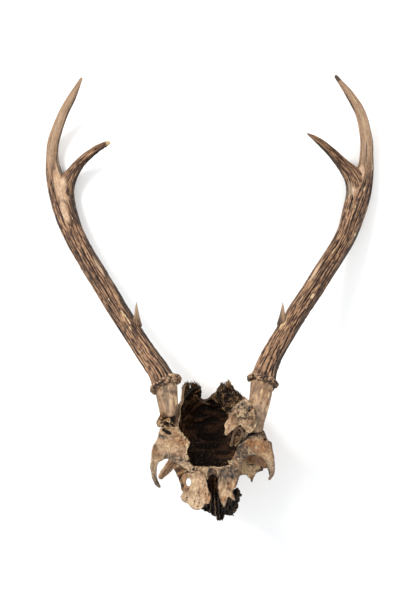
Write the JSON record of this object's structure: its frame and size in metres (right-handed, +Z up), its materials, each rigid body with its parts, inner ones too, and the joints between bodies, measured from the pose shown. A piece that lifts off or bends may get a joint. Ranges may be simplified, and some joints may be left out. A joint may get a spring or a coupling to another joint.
{
  "type": "deer skull with antlers",
  "caption": "Weathered deer skull with an open braincase, broken eye sockets and nose, and forked antlers that lie back on the floor.",
  "frame": {"origin": "middle of the footprint, on the surface that the skull lies on", "axes": "+Y from the broken nose towards the antler tips, +Z up, +X to the right as seen from above with the nose towards the viewer"},
  "size_m": [0.303, 0.4054, 0.1204],
  "materials": {
    "skull_bone": "weathered dry bone, matt",
    "stained_bone": "thin stained bone, matt",
    "antler": "grooved brown antler, satin",
    "antler_tip": "worn smooth pale antler, satin",
    "dried_tissue": "dried dark tissue, dull"
  },
  "bodies": {
    "root": {"braincase": "skull_bone", "occiput": "skull_bone", "skull_base": "skull_bone", "ear_bulla_left": "skull_bone", "ear_bulla_right": "skull_bone", "frontal_left": "skull_bone", "frontal_right": "skull_bone", "orbit_rim_left": "skull_bone", "orbit_rim_right": "skull_bone", "cheek_bar_left": "skull_bone", "orbit_wall_right": "stained_bone", "roof_flap_right": "skull_bone", "spongy_knob_right": "stained_bone", "nose_plate_left": "skull_bone", "nose_plate_right": "skull_bone", "nose_scroll_left": "dried_tissue", "nose_scroll_right": "dried_tissue", "nose_wall": "dried_tissue", "pedicle_left": "skull_bone", "burr_left": "antler", "beam_left": "antler", "brow_tine_left": "antler", "main_tine_left": "antler_tip", "fork_tine_left": "antler_tip", "pedicle_right": "skull_bone", "burr_right": "antler", "beam_right": "antler", "brow_tine_right": "antler", "main_tine_right": "antler_tip", "fork_tine_right": "antler_tip"}
  },
  "joints": []
}
